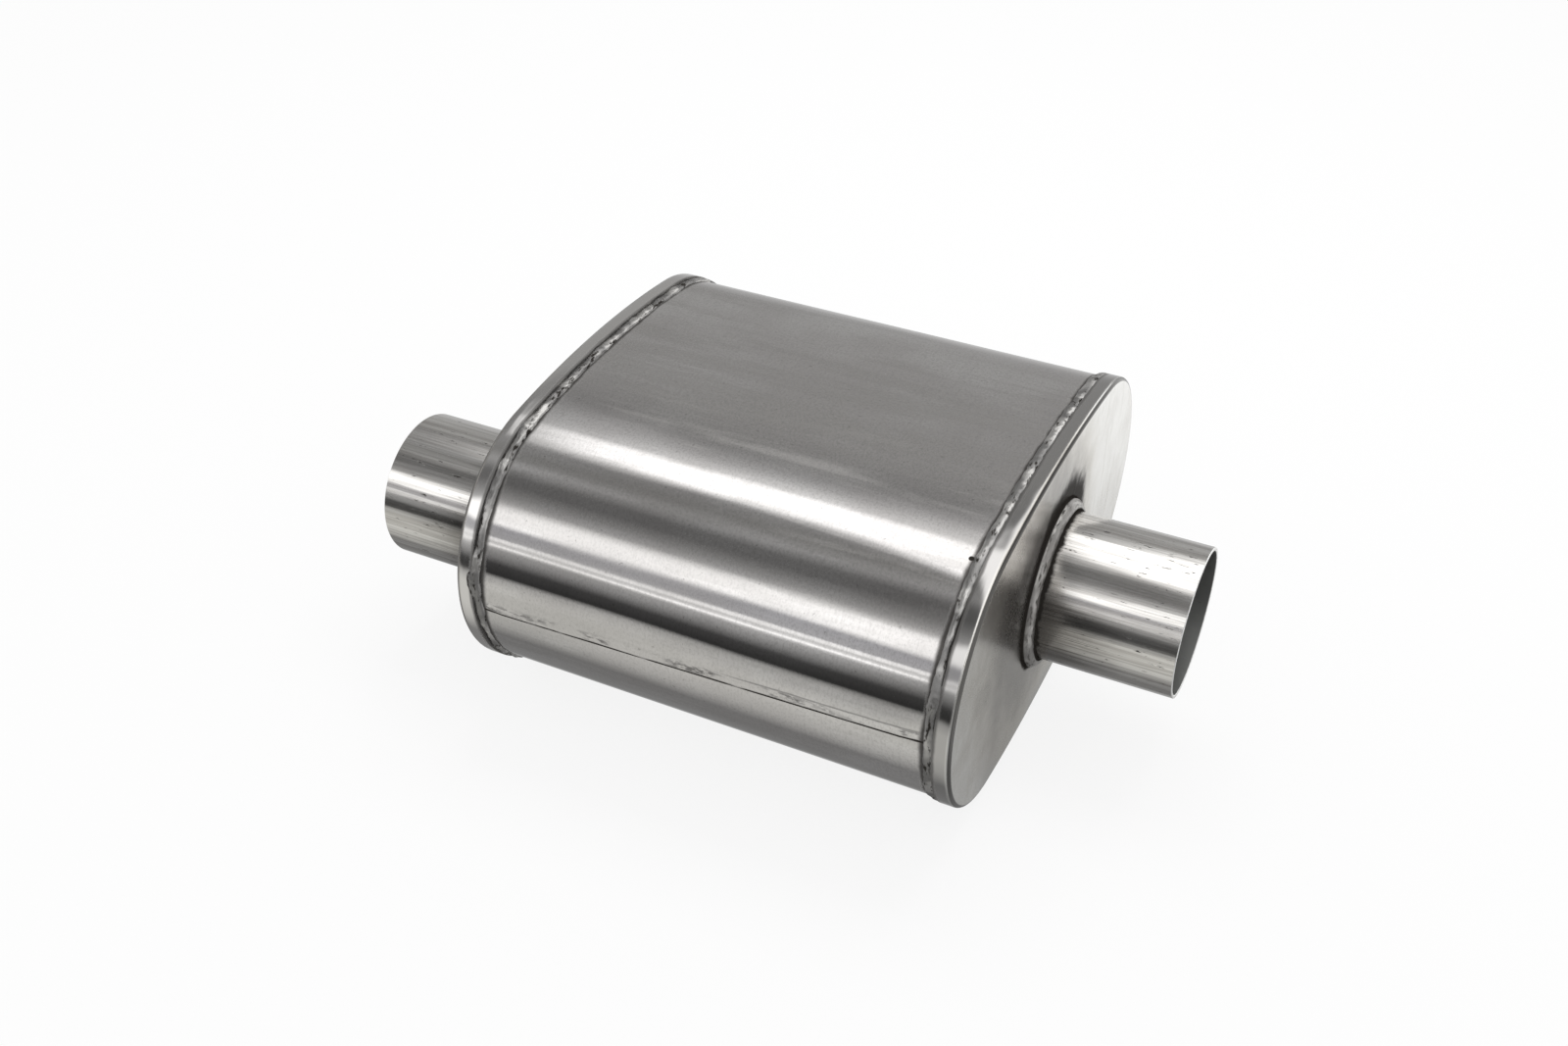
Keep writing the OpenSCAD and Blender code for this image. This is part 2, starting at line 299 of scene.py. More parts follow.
def dress(piece, finish, slot, *nodes):
    """Gives a piece its finish and rides it on the one body; the slot is not used"""
    piece.data.materials.clear()
    piece.data.materials.append(finish.material)
    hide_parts(*nodes)
    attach(piece, "root")


def near_arm(co):
    """From the near arc's centre to a place: the arm, and its degrees upwards"""
    arm = Vector((0, co.y + SIDE_C, co.z))
    return arm, math.degrees(math.atan2(arm.z, -arm.y))


# Centres of the four arcs, in Y and Z
NEAR, FAR = (-SIDE_C, 0), (SIDE_C, 0)
ABOVE, BELOW = (0, -CROWN_C), (0, CROWN_C)
near_y = -(SIDE_C + SIDE_R)
inlet_face, outlet_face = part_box("inlet_cap")[0].x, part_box("outlet_cap")[1].x
low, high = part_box("shell")
length_steps = 24
seam = Matrix.Rotation(math.radians(SEAM_DROP), 3, "X") @ Vector((0, -SIDE_R, 0))
shell = draw(
    "shell_sheet",
    [
        (low.x + (high.x - low.x) * i / length_steps, seam.y - SIDE_C, seam.z)
        for i in range(length_steps + 1)
    ],
)
bend_round([(LAP_WIDE, 8, NEAR)])
edit(shell, False)
# The lap stands off at the seam and lies down over its width, and at both ends
for vertex in shell.data.vertices:
    arm, rise = near_arm(vertex.co)
    over = rise + SEAM_DROP
    from_ends = min(vertex.co.x - inlet_face, outlet_face - vertex.co.x)
    if from_ends > LAP_END:
        vertex.co += arm.normalized() * LAP_T * (1 - over / LAP_WIDE) ** 1.5
edit(shell)
bend_round(
    [
        (SIDE_HALF + SEAM_DROP - LAP_WIDE, 48, NEAR),
        (CROWN_FULL, 24, ABOVE),
        (2 * SIDE_HALF, 90, FAR),
        (CROWN_FULL, 24, BELOW),
        (SIDE_HALF - SEAM_DROP, 48, NEAR),
    ]
)
close_up(shell)
for vertex in shell.data.vertices:
    arm, rise = near_arm(vertex.co)
    if abs(rise) < SLANT_REACH:
        slant = SEAM_SLANT * vertex.co.x * (1 - abs(rise) / SLANT_REACH)
        arm.rotate(Matrix.Rotation(math.radians(-slant), 3, "X"))
        vertex.co.y, vertex.co.z = arm.y - SIDE_C, arm.z
finish_with(shell, "SOLIDIFY", thickness=SHELL_T, offset=-1)
smooth(shell, 20)

brushed = Finish("brushed_shell")
along, side, up = brushed.axes(brushed.place())
grain = brushed.noise((950, 26, 26), 3, 0.65)
fine = brushed.noise((2600, 70, 70), 2, 0.6)
clouds = brushed.noise((14, 24, 24), 3, 0.55)
haze = brushed.noise((75, 60, 60), 4, 0.6, shift=(1, 0, 0))
mottle = brushed.noise((1100, 800, 800), 2, 0.7, shift=(0, 0, 2))
sway = brushed.noise((6, 22, 22), 1, 0.4, shift=(0, 2, 0))
specks = brushed.noise((650, 650, 650), 1, 0.5)
tone = brushed.mix(clouds.ramp(0.38, 0.64), (0.62, 0.60, 0.59, 1), (0.70, 0.685, 0.675, 1))
tone = brushed.mix(grain.ramp(0.45, 0.8) * 0.3, tone, (0.48, 0.465, 0.455, 1))
polish = brushed.noise((7, 75, 75), 4, 0.65, shift=(0, 0, 1))
tone = brushed.mix(polish.ramp(0.42, 0.62) * 0.7, tone, (0.53, 0.515, 0.50, 1))
tone = brushed.mix(specks.ramp(0.72, 0.8) * 0.5, tone, (0.25, 0.24, 0.23, 1))
tone = brushed.mix(mottle.ramp(0.42, 0.70) * 0.45, tone, (0.44, 0.43, 0.42, 1))
# Heat has darkened a line beside each cap weld; a painted shadow lies in the seam under the
# lap's edge, with smudges of dirt just above it
caps_middle = (inlet_face + outlet_face) / 2
to_toe = (outlet_face - inlet_face) / 2 - LAP_END - (along - caps_middle).size()
toe = (to_toe + haze * 0.0030).ramp(0.0034, 0.0014)
near = side.ramp(-0.108, -0.111)
dirty = brushed.noise((38, 160, 160), 3, 0.6, shift=(0, 0, 4))
scuffs = brushed.noise((260, 700, 700), 3, 0.6)
seam_at = up - along * (SIDE_R * math.radians(SEAM_SLANT)) + SIDE_R * math.radians(SEAM_DROP)
seam_at = seam_at + haze * 0.0007
# Painted shadow: a dark line along the seam, under the lap's edge
seam_shadow = near * (seam_at - 0.0004).size().ramp(0.0010, 0.0003) * dirty.ramp(0.25, 0.45)
scratch = near * (seam_at - 0.0045).size().ramp(0.0005, 0.0002) * along.ramp(0, 0.03)
smudge = near * (seam_at - 0.0024).size().ramp(0.0034, 0.0004)
smudge = smudge * dirty.ramp(0.44, 0.58) * scuffs.ramp(0.40, 0.58)
# A pinhole beside the outlet's weld
PINHOLE = (0.0936, -0.0708, 0.0568)
away = brushed.node(
    "ShaderNodeVectorMath", {"operation": "LENGTH"}, [brushed.place(shift=PINHOLE)], out=1
)
hole = away.ramp(0.0013, 0.0009)
# The black share holds the painted seam shadow with the smudges, the scratch, the heat line
# and the pinhole
dirt_and_shade = (seam_shadow * 0.8).math("MAXIMUM", smudge * 0.5).math("MAXIMUM", scratch * 0.35)
dirt_and_shade = dirt_and_shade.math("MAXIMUM", toe * 0.65).math("MAXIMUM", hole)
dulled = up.ramp(0.030, 0.058) * 0.07
dulled = dulled + polish.ramp(0.42, 0.66) * up.ramp(0.020, 0.036) * 0.12
brushed.bare_steel(
    tone,
    dirt_and_shade,
    Roughness=dulled + grain * 0.05,
    Normal=brushed.bump(
        sway, 0.55 * MM, brushed.bump(grain * 0.35 + fine * 0.2 + mottle, 0.004 * MM)
    ),
)
dress(shell, brushed, "shell_steel", "shell")

# End caps: pressed from sheet, each flat face bent into a skirt that slips over
# the shell, with a hole whose rim is drawn inwards round the pipe.
CAP_T, CAP_SKIRT, CAP_OFF, CAP_CORNER = 1.5 * MM, 7.5 * MM, 1.6 * MM, 1.9 * MM
HOLE_R, COLLAR = 31.9 * MM, 7.5 * MM
INLET_Y, OUTLET_Y = -54 * MM, 0.0
CAP_MIDSKIRT, CAP_STRIP = 4 * MM, 0.6 * MM  # the strip of face that the sweep makes


def bend_all_round(near_steps, crown_steps, far_steps):
    """Spins what is selected once round the oval, from the near side"""
    bend_round(
        [
            (SIDE_HALF, near_steps, NEAR),
            (CROWN_FULL, crown_steps, ABOVE),
            (2 * SIDE_HALF, far_steps, FAR),
            (CROWN_FULL, crown_steps, BELOW),
            (SIDE_HALF, near_steps, NEAR),
        ]
    )


def press_cap(name, face, inwards, pipe_y):
    """The sheet's outer surface, from the skirt's edge to the collar's"""
    corner = [math.radians(a) for a in range(0, 91, 15)]
    section = [(CAP_SKIRT, CAP_OFF), (CAP_MIDSKIRT, CAP_OFF)]
    section += [
        (
            CAP_CORNER * (1 - math.sin(a)),
            CAP_OFF - CAP_CORNER * (1 - math.cos(a)),
        )
        for a in corner
    ]
    section += [(0, CAP_OFF - CAP_CORNER - CAP_STRIP)]
    cap = draw(name, [(face + inwards * d, near_y - off, 0) for d, off in section])
    bend_all_round(48, 24, 96)
    bpy.ops.mesh.select_all(action="SELECT")
    bpy.ops.mesh.remove_doubles(threshold=0.01 * MM)
    bpy.ops.mesh.primitive_circle_add(
        vertices=240,
        radius=HOLE_R,
        location=(face, pipe_y, 0),
        rotation=(0, math.pi / 2, 0),
    )
    bpy.ops.mesh.extrude_region_move(
        TRANSFORM_OT_translate={"value": (inwards * COLLAR, 0, 0)}
    )
    edge = CAP_OFF - CAP_CORNER - CAP_STRIP + 0.1 * MM
    hole = Vector((face, pipe_y, 0))

    def beside(co):
        """On the flat face, at the section's end or at the hole"""
        return abs(co.x - face) < 0.01 * MM and (
            (co - hole).length < HOLE_R + MM or inside_oval(co, edge)
        )

    pick(cap, beside)
    bpy.ops.mesh.fill(use_beauty=True)
    close_up(cap)
    finish_with(cap, "SOLIDIFY", thickness=CAP_T, offset=-1, use_even_offset=True)
    smooth(cap, 35)
    return cap


def inside_oval(co, off):
    """Whether a place lies within the shell's outline, widened by off"""
    y, z = abs(co.y), abs(co.z)
    crown = math.hypot(y, z + CROWN_C) < CROWN_R + off
    side = y < SIDE_C or math.hypot(y - SIDE_C, z) < SIDE_R + off
    return crown and (side or math.atan2(z, y - SIDE_C) > math.radians(SIDE_HALF))


def from_pipe(finish, face, pipe_y):
    """Along, side and up from where a pipe's middle meets a face, and the reach
    from that middle line"""
    along, side, up = finish.axes(finish.place(shift=(face, pipe_y, 0)))
    return along, side, up, (side * side + up * up) ** 0.5


def heated(name, face, outwards, pipe_y, skirt):
    """Satin steel that welding has tinted round a pipe, most of all above it, with painted
    shade low on the face and a painted dark reflection along the corner to the skirt
    """
    finish = Finish(name)
    along, side, up, reach = from_pipe(finish, face, pipe_y)
    depth = along * -outwards
    flat = depth.ramp(0.0024, 0.0014)
    wander = finish.noise((70, 70, 70), 3, 0.6)
    blot = finish.noise((26, 30, 30), 3, 0.55)
    strokes = finish.noise((60, 260, 60), 3, 0.6, shift=(0, 1, 0))
    grain = finish.noise((700, 260, 260), 3, 0.6)
    sway = finish.noise((60, 26, 26), 2, 0.5, shift=(2, 0, 0))
    tone = finish.mix(blot.ramp(0.35, 0.68), (0.73, 0.725, 0.71, 1), (0.62, 0.61, 0.59, 1))
    # Painted shade: the face grows darker low down, away from the near side's edge
    shade = (up + side * 0.3).ramp(-0.025, -0.065) * side.ramp(-0.088, -0.060)
    tone = finish.mix(shade * 0.6, tone, (0.28, 0.275, 0.27, 1))
    tone = finish.mix(strokes.ramp(0.52, 0.72) * flat * 0.35, tone, (0.50, 0.49, 0.44, 1))
    # Straw, then brown, nearer to the pipe, reach further above it and on the near
    # side; the soot beside the weld has a plume above the pipe
    warm = reach + wander * 0.030 - up * 0.16 + side * 0.32
    tone = finish.mix(flat * warm.ramp(0.098, 0.070) * 0.6, tone, (0.45, 0.42, 0.37, 1))
    tone = finish.mix(flat * warm.ramp(0.082, 0.048) * 0.85, tone, (0.18, 0.17, 0.16, 1))
    plume = (reach + wander * 0.012 - up * 0.21 - side * 0.10).ramp(0.0450, 0.0370)
    soot = (plume * 0.85).math("MAXIMUM", (reach + wander * 0.004).ramp(0.0410, 0.0390))
    # The skirt gets the grey given for its cap, darker on the outlet cap as painted shade, and
    # a painted dark reflection lines the bend
    tone = finish.mix(1.0 - flat, tone, skirt)
    # Painted reflection: a dark line along the corner between face and skirt
    painted_bend_line = depth.ramp(0.00001, 0.00008) * depth.ramp(0.0014, 0.0009)
    tone = finish.mix(painted_bend_line * 0.9, tone, (0.06, 0.058, 0.055, 1))
    toe = (depth + wander * 0.0016).ramp(CAP_SKIRT - 0.9 * MM, CAP_SKIRT + 0.3 * MM)
    finish.bare_steel(
        tone,
        (flat * soot).math("MAXIMUM", toe * 0.5),
        Roughness=blot * 0.06 + grain * 0.05 + flat * 0.16 + 0.05,
        Normal=finish.bump(sway, 0.5 * MM, finish.bump(grain, 0.002 * MM)),
    )
    return finish


inlet_cap = press_cap("inlet_cap_sheet", inlet_face, 1, INLET_Y)
inlet_heat = heated("inlet_cap_steel", inlet_face, -1, INLET_Y, (0.70, 0.685, 0.67, 1))
dress(inlet_cap, inlet_heat, "cap_steel", "inlet_cap")
outlet_cap = press_cap("outlet_cap_sheet", outlet_face, -1, OUTLET_Y)
# The outlet cap's skirt is given a darker grey than the inlet cap's, as painted shade
outlet_heat = heated("outlet_cap_steel", outlet_face, 1, OUTLET_Y, (0.46, 0.45, 0.44, 1))
dress(outlet_cap, outlet_heat, "cap_steel", "outlet_cap")

# Cap welds: hand-laid beads between the skirts' edges and the shell, lumpy and
# uneven in width, with dirt in their pits.


def lump(piece, size, depth):
    """Moves the surface in and out by noise whose cells have that size"""
    cells = bpy.data.textures.new(piece.name + "_lumps", "CLOUDS")
    cells.noise_scale = size
    finish_with(
        piece,
        "DISPLACE",
        texture=cells,
        strength=depth,
        mid_level=0.5,
        texture_coords="LOCAL",
    )


def lay_cap_bead(name, face, inwards, blobs):
    """A bead swept round the oval, then raised, broadened and shifted over the skirt
    at each blob of (degrees up the near side, spread, lift, broadening, shift)"""
    width, crest, root = 4.5 * MM, 1.15 * MM, 0.5 * MM
    lean = 0.44  # share of the width from the skirt's edge to the bead's middle
    points = 15
    section = []
    for i in range(points):
        a = math.pi * i / (points - 1)
        section.append(
            (
                CAP_SKIRT + width * (lean - 0.5 * math.cos(a)),
                -root + (crest + root) * math.sin(a) ** 0.7,
            )
        )
    bead = draw(name, [(face + inwards * d, near_y - off, 0) for d, off in section])
    bend_all_round(150, 210, 300)
    close_up(bead)
    # Where the welder stopped and started again, the bead is broader and higher,
    # and between these places it is thinner
    middle = face + inwards * (CAP_SKIRT + lean * width)
    for vertex in bead.data.vertices:
        arm, rise = near_arm(vertex.co)
        for angle, spread, lift, broaden, shift in blobs:
            share = max(0.0, 1 - ((rise - angle) / spread) ** 2) ** 1.5
            if arm.length > SIDE_R:
                vertex.co += arm.normalized() * share * lift
            broader = (vertex.co.x - middle) * share * broaden
            vertex.co.x += broader - inwards * share * shift
    lump(bead, 8 * MM, 1.5 * MM)
    lump(bead, 3.2 * MM, 0.4 * MM)
    smooth(bead, 180)
    return bead


def weld_metal(name, bright, dull):
    """Rough weld metal, bright in patches and dirty in its pits"""
    finish = Finish(name)
    ripple = finish.noise((600, 380, 380), 3, 0.65)
    patch = finish.noise((60, 60, 60), 2, 0.5)
    pits = finish.noise((480, 150, 150), 3, 0.65, shift=(3, 1, 2))
    tone = finish.mix(patch.ramp(0.42, 0.54), bright, dull)
    finish.bare_steel(
        tone,
        pits.ramp(0.54, 0.66) * 0.8,
        Roughness=patch * 0.40 + pits * 0.2 + 0.08,
        Normal=finish.bump(ripple + pits, 0.12 * MM),
    )
    return finish


bead_steel = weld_metal("cap_weld_metal", (0.50, 0.49, 0.475, 1), (0.25, 0.245, 0.24, 1))
inlet_bead = lay_cap_bead(
    "inlet_cap_bead",
    inlet_face,
    1,
    [
        (77, 9, 0.4 * MM, 0.2, 0.3 * MM),
        (52, 12, 0.3 * MM, 0.1, 0),
        (30, 10, -0.4 * MM, -0.25, 0),
        (10, 13, 0.9 * MM, 0.45, 1.6 * MM),
        (-28, 28, -0.3 * MM, -0.3, -0.4 * MM),
    ],
)
dress(inlet_bead, bead_steel, "weld_steel", "inlet_cap_weld")
outlet_bead = lay_cap_bead(
    "outlet_cap_bead",
    outlet_face,
    -1,
    [
        (66, 10, 0.4 * MM, 0.15, 0),
        (42, 16, -0.3 * MM, -0.3, -0.3 * MM),
        (20, 7, 0.8 * MM, 0.2, 0.2 * MM),
        (-6, 18, 0.5 * MM, 0.25, 1.4 * MM),
    ],
)
dress(outlet_bead, bead_steel, "weld_steel", "outlet_cap_weld")

# Stub pipes: cut from drawn tube, so their surface is streaked lengthwise, with a
# deburred edge at the mouth.
PIPE_R, PIPE_T = 31.75 * MM, 1.5 * MM


def cut_pipe(name, node, pipe_y):
    start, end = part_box(node)
    bpy.ops.mesh.primitive_cylinder_add(
        vertices=180,
        radius=PIPE_R,
        depth=end.x - start.x,
        end_fill_type="NOTHING",
        location=((start.x + end.x) / 2, pipe_y, 0),
        rotation=(0, math.pi / 2, 0),
    )
    pipe = bpy.context.object
    pipe.name = pipe.data.name = name
    bpy.ops.object.transform_apply()
    finish_with(pipe, "SOLIDIFY", thickness=PIPE_T, offset=-1)
    finish_with(
        pipe,
        "BEVEL",
        width=0.25 * MM,
        segments=2,
        limit_method="ANGLE",
        angle_limit=math.radians(60),
    )
    smooth(pipe, 15)
    return pipe


def drawn_steel(name, face, outwards, pipe_y, stub):
    """Drawn tube with lengthwise streaks, soot at its weld, darkening near the weld that
    reaches further below its shoulder as painted shade, and a dull inside whose dark grey is
    painted shade
    """
    finish = Finish(name)
    along, side, up, reach = from_pipe(finish, face, pipe_y)
    out = along * outwards
    dull_shaded_bore = reach.ramp(PIPE_R - 0.75 * MM, PIPE_R - 1.15 * MM)
    streaks = finish.noise((8, 330, 330), 4, 0.7)
    lines = finish.noise((11, 1300, 1300), 2, 0.6)
    waves = finish.noise((3, 85, 85), 2, 0.5, shift=(1, 0, 0))
    blot = finish.noise((55, 130, 130), 4, 0.65)
    scars = finish.noise((120, 700, 700), 3, 0.7, shift=(0, 3, 0))
    clean, stained = (0.78, 0.765, 0.74, 1), (0.44, 0.42, 0.40, 1)
    smoked = (0.13, 0.12, 0.11, 1)
    tone = finish.mix(streaks.ramp(0.40, 0.62) * 0.7, clean, stained)
    # The welding has smoked the tube near its weld; the darkening reaches further below its
    # shoulder, and that extra darkening is painted shade
    smoke_and_shade = (out + blot * 0.020 + up.ramp(0.008, 0.024) * 0.022).ramp(0.056, 0.015)
    tone = finish.mix(lines.ramp(0.52, 0.64) * (smoke_and_shade * 0.7 + 0.2), tone, smoked)
    tone = finish.mix(smoke_and_shade * 0.85, tone, smoked)
    soot = (out + blot * 0.006).ramp(0.0100, 0.0074)
    # Painted shade: the bore, inside the tube, is given a dark grey
    tone = finish.mix(dull_shaded_bore, tone, (0.24, 0.243, 0.235, 1))
    cut = out.ramp(stub - 0.0004, stub - 0.0001)
    tone = finish.mix(cut, tone, (0.88, 0.88, 0.87, 1))
    finish.bare_steel(
        tone,
        (soot * 0.95).math("MAXIMUM", scars.ramp(0.62, 0.72) * 0.8),
        Roughness=streaks * 0.20 + blot * 0.06 + dull_shaded_bore * 0.35 + cut * 0.2 + 0.02,
        Normal=finish.bump(waves, 0.5 * MM, finish.bump(streaks + lines * 0.4, 0.014 * MM)),
    )
    return finish


inlet_pipe = cut_pipe("inlet_pipe_tube", "inlet_pipe", INLET_Y)
inlet_stub = inlet_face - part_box("inlet_pipe")[0].x
inlet_steel = drawn_steel("inlet_tube_steel", inlet_face, -1, INLET_Y, inlet_stub)
dress(inlet_pipe, inlet_steel, "pipe_steel", "inlet_pipe")
outlet_pipe = cut_pipe("outlet_pipe_tube", "outlet_pipe", OUTLET_Y)
outlet_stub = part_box("outlet_pipe")[1].x - outlet_face
outlet_steel = drawn_steel("outlet_tube_steel", outlet_face, 1, OUTLET_Y, outlet_stub)
dress(outlet_pipe, outlet_steel, "pipe_steel", "outlet_pipe")

# Pipe welds: a dull fillet bead round each pipe on its cap's face, with soot on
# both of its edges.


def lay_pipe_bead(name, face, outwards, pipe_y):
    """A swollen quarter round, whose feet lie in the face and in the pipe"""
    leg_out, leg_up, root = 4.6 * MM, 5.0 * MM, 0.3 * MM
    swell, steps = 0.75, 12
    section = []
    for i in range(steps + 1):
        a = math.radians(90 * i / steps)
        section.append(
            (
                -root + leg_out * math.cos(a) ** swell,
                -root + leg_up * math.sin(a) ** swell,
            )
        )
    bead = draw(
        name,
        [(face + outwards * out, pipe_y - PIPE_R - up, 0) for out, up in section],
    )
    bend_round([(360, 420, (pipe_y, 0))])
    close_up(bead)
    lump(bead, 8 * MM, 0.9 * MM)
    lump(bead, 3 * MM, 0.3 * MM)
    smooth(bead, 180)
    return bead


def sooted(name, face, outwards, pipe_y):
    """Dull weld metal whose wrinkles run round the pipe"""
    finish = Finish(name)
    along, side, up, reach = from_pipe(finish, face, pipe_y)
    polar = finish.node(
        "ShaderNodeCombineXYZ", {}, [along * 800, reach * 800, up.math("ARCTAN2", side) * 6]
    )
    wrinkles = finish.noise(1, 3, 0.65, where=polar)
    patch = finish.noise((90, 90, 90), 2, 0.5)
    tone = finish.mix(patch.ramp(0.4, 0.65), (0.40, 0.39, 0.375, 1), (0.26, 0.25, 0.24, 1))
    on_face = (along * outwards).ramp(1.6 * MM, 0.7 * MM)
    on_pipe = reach.ramp(PIPE_R + 1.65 * MM, PIPE_R + 0.85 * MM)
    edges = on_face.math("MAXIMUM", on_pipe)
    finish.bare_steel(
        tone,
        edges.math("MAXIMUM", wrinkles.ramp(0.52, 0.70) * 0.6),
        Roughness=wrinkles * 0.25 + 0.22,
        Normal=finish.bump(wrinkles, 0.35 * MM),
    )
    return finish


inlet_fillet = lay_pipe_bead("inlet_pipe_bead", inlet_face, -1, INLET_Y)
inlet_soot = sooted("inlet_weld_metal", inlet_face, -1, INLET_Y)
dress(inlet_fillet, inlet_soot, "pipe_weld_steel", "inlet_pipe_weld")
outlet_fillet = lay_pipe_bead("outlet_pipe_bead", outlet_face, 1, OUTLET_Y)
outlet_soot = sooted("outlet_weld_metal", outlet_face, 1, OUTLET_Y)
dress(outlet_fillet, outlet_soot, "pipe_weld_steel", "outlet_pipe_weld")

# Inside: the perforated core on its baffles, its welds and the packing. They keep
# their CAD shape, and show only through the pipes' mouths.
sheet = Finish("inner_sheet")
rolled = sheet.noise((60, 400, 400), 3, 0.6)
sheet.set(
    Base_Color=sheet.mix(rolled.ramp(0.35, 0.7), (0.50, 0.49, 0.47, 1), (0.38, 0.37, 0.35, 1)),
    Metallic=1.0,
    Roughness=rolled * 0.2 + 0.3,
    Normal=sheet.bump(rolled, 0.01 * MM),
)
wool = Finish("steel_wool")
strands = wool.noise((500, 2200, 900), 4, 0.7)
wool.set(
    Base_Color=wool.mix(strands.ramp(0.4, 0.6), (0.10, 0.10, 0.095, 1), (0.45, 0.44, 0.42, 1)),
    Metallic=0.8,
    Roughness=strands * 0.3 + 0.45,
    Normal=wool.bump(strands, 0.4 * MM),
)
fibre = Finish("glass_fibre")
tufts = fibre.noise((300, 700, 500), 4, 0.7)
fibre.set(
    Base_Color=fibre.mix(tufts.ramp(0.3, 0.7), (0.62, 0.56, 0.38, 1), (0.86, 0.82, 0.66, 1)),
    Metallic=0.0,
    Roughness=tufts * 0.1 + 0.85,
    Normal=fibre.bump(tufts, 0.8 * MM),
)
INSIDE = {
    sheet: [
        "inlet_baffle",
        "outlet_baffle",
        "core_tube",
        "inlet_core_end",
        "outlet_core_end",
    ],
    bead_steel: [
        "inlet_baffle_tacks",
        "outlet_baffle_tacks",
        "inlet_mitre_weld",
        "outlet_mitre_weld",
        "inlet_core_tacks",
        "outlet_core_tacks",
    ],
    wool: ["wool_sleeve"],
    fibre: ["near_packing", "far_packing"],
}
for finish, nodes in INSIDE.items():
    for name in nodes:
        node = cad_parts[name]
        node.data.materials.clear()
        node.data.materials.append(finish.material)

# Studio: a pale floor under the silencer and a white room. Metal mirrors long
# soft lamps that hang over it along its length, with darker walls between them.
floor_z = cad_bounds[0].z - 0.2 * MM
bpy.ops.mesh.primitive_circle_add(
    vertices=96, radius=1.1, fill_type="NGON", location=(0, 0, floor_z)
)
floor = bpy.context.object
floor.name = "floor"
paper = Finish("floor_paper")
weave = paper.noise((40, 40, 40), 2, 0.5)
paper.set(Base_Color=(0.86, 0.86, 0.86, 1), Roughness=weave * 0.05 + 0.85)
ray = paper.node("ShaderNodeLightPath", {}, {}, out="Is Camera Ray")
glow = paper.node("ShaderNodeEmission", {}, {"Color": (1, 1, 1, 1), "Strength": 1.0})
own = Reading(paper, paper.shader.outputs[0])
seen = paper.node("ShaderNodeMixShader", {}, [ray * 0.85, own, glow])
mirror = paper.node("ShaderNodeLightPath", {}, {}, out="Is Glossy Ray")
clear = paper.node("ShaderNodeBsdfTransparent", {}, {})
seen = paper.node("ShaderNodeMixShader", {}, [mirror, seen, clear])
paper.tree.links.new(seen.socket, paper.tree.nodes["Material Output"].inputs["Surface"])
floor.data.materials.append(paper.material)

world = bpy.data.worlds.new("studio")
bpy.context.scene.world = world
world.use_nodes = True
world.cycles.sampling_method = "NONE"
room = Finish("studio", world.node_tree)
toward = room.node("ShaderNodeTexCoord", {}, {}, out="Generated")
endwise, across, upward = room.axes(toward)
turned = upward.math("ARCTAN2", across * -1.0) * (180 / math.pi)


# A lamp is brighter than white, and a ramp's colours end at white. So the ramps and
# the walls hold a share of this brightness.
BRIGHTEST = 2.0


def around(lamps):
    """Brightness by the direction round the silencer's length: degrees up from the
    near side's horizon, over the top to the far side"""
    stops = []
    for angle, bright, warm, cool in lamps:
        share = bright / BRIGHTEST
        stops.append(((angle + 180) / 360, (share * warm, share, share * cool, 1)))
    return room.node("ShaderNodeValToRGB", {"stops": stops}, [turned / 360 + 0.5])


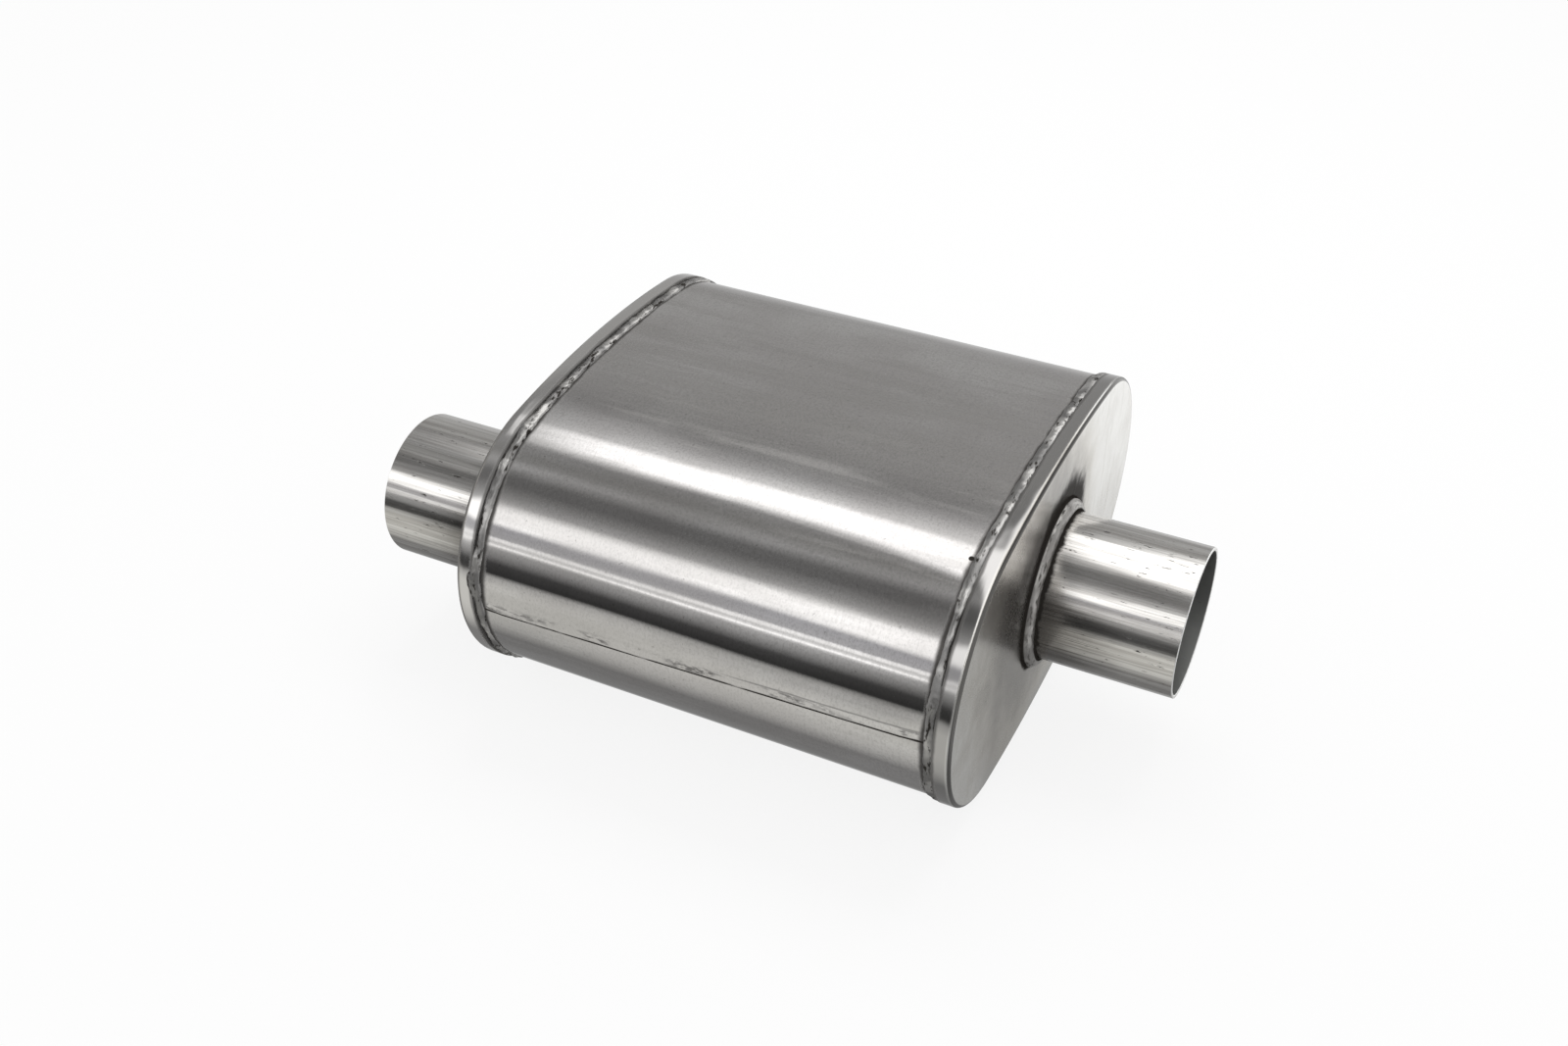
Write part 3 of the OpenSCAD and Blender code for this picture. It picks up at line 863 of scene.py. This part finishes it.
# Degrees, brightness, and how warm or cool it is in red and in blue
ALONG_SIDES = [
    (-180, 0.45, 1, 1),
    (-160, 0.62, 1, 1),
    (-143, 0.50, 1, 1),
    (-126, 0.42, 1, 1),
    (-116, 0.24, 1, 1),
    (-80, 0.25, 1, 1),
    (-64, 0.58, 1, 0.97),
    (-48, 0.73, 1, 0.96),
    (-26, 0.74, 1, 0.96),
    (-18, 0.52, 1, 0.98),
    (-14, 0.04, 1, 1),
    (-5, 0.07, 1, 1),
    (2, 0.33, 1, 1),
    (8, 0.55, 1, 1),
    (10, 1.60, 1, 1),
    (12, 0.60, 1, 1),
    (15, 1.60, 1, 1),
    (16.5, 0.55, 1, 1.03),
    (25, 0.48, 1, 1.05),
    (29, 1.55, 1, 1),
    (40, 1.65, 1, 1),
    (45, 0.50, 1, 1),
    (53, 0.30, 1, 1),
    (61, 0.16, 1, 1),
    (69, 0.17, 1, 1),
    (78, 0.42, 1, 1),
    (87, 0.25, 1, 0.98),
    (97, 0.30, 1, 1),
    (130, 0.25, 1, 1),
    (138, 0.38, 1, 0.99),
    (160, 0.41, 1, 0.99),
    (180, 0.44, 1, 1),
]
BEYOND_OUTLET = [
    (-180, 1.10, 1, 1),
    (-148, 1.20, 1, 0.99),
    (-138, 0.42, 1, 0.98),
    (-125, 0.34, 1, 1),
    (-60, 0.45, 1, 1),
    (0, 0.35, 1, 1),
    (60, 0.45, 1, 1),
    (150, 0.50, 1, 1),
]
walls = room.mix(endwise.ramp(0.02, 0.12), around(ALONG_SIDES), around(BEYOND_OUTLET))
# The room's two end walls are pale
walls = room.mix(endwise.ramp(0.60, 0.80), walls, (0.48, 0.48, 0.48, 1))
walls = room.mix(endwise.ramp(-0.66, -0.86), walls, (0.42, 0.42, 0.42, 1))
# A long lamp hangs above the far side; it is wider towards the outlet
lamp_edge = (endwise + 0.30).math("MAXIMUM", 0) * -140 + 103
far_edge = (endwise + 0.19).math("MAXIMUM", 0) * 130 + 124
top_lamp = (turned - lamp_edge).ramp(-5, 4) * (turned - far_edge).ramp(8, -4)
top_lamp = top_lamp * endwise.ramp(-0.53, -0.43) * endwise.ramp(0.38, 0.32)
bands = room.mix(top_lamp, walls, (0.92, 0.92, 0.92, 1))
camera_ray = room.node("ShaderNodeLightPath", {}, {}, out="Is Camera Ray")
glossy_ray = room.node("ShaderNodeLightPath", {}, {}, out="Is Glossy Ray")
mirrored = room.node(
    "ShaderNodeVectorMath", {"operation": "SCALE"}, {0: bands, "Scale": BRIGHTEST}
)
soft = room.mix(glossy_ray, (0.85, 0.85, 0.85, 1), mirrored)
seen = room.mix(camera_ray, soft, (1, 1, 1, 1))
back = world.node_tree.nodes["Background"]
room.feed(back.inputs["Color"], seen)
back.inputs["Strength"].default_value = 1.0

bpy.ops.object.light_add(type="AREA", location=(0, 0.45, 1.1))
key = bpy.context.object
key.data.shape = "RECTANGLE"
key.data.size, key.data.size_y = 0.9, 0.5
key.data.energy = 5
key.rotation_euler = (Vector((0, 0, 0)) - key.location).to_track_quat("-Z", "Y").to_euler()
key.visible_glossy = False

bpy.context.scene.view_settings.view_transform = "Standard"
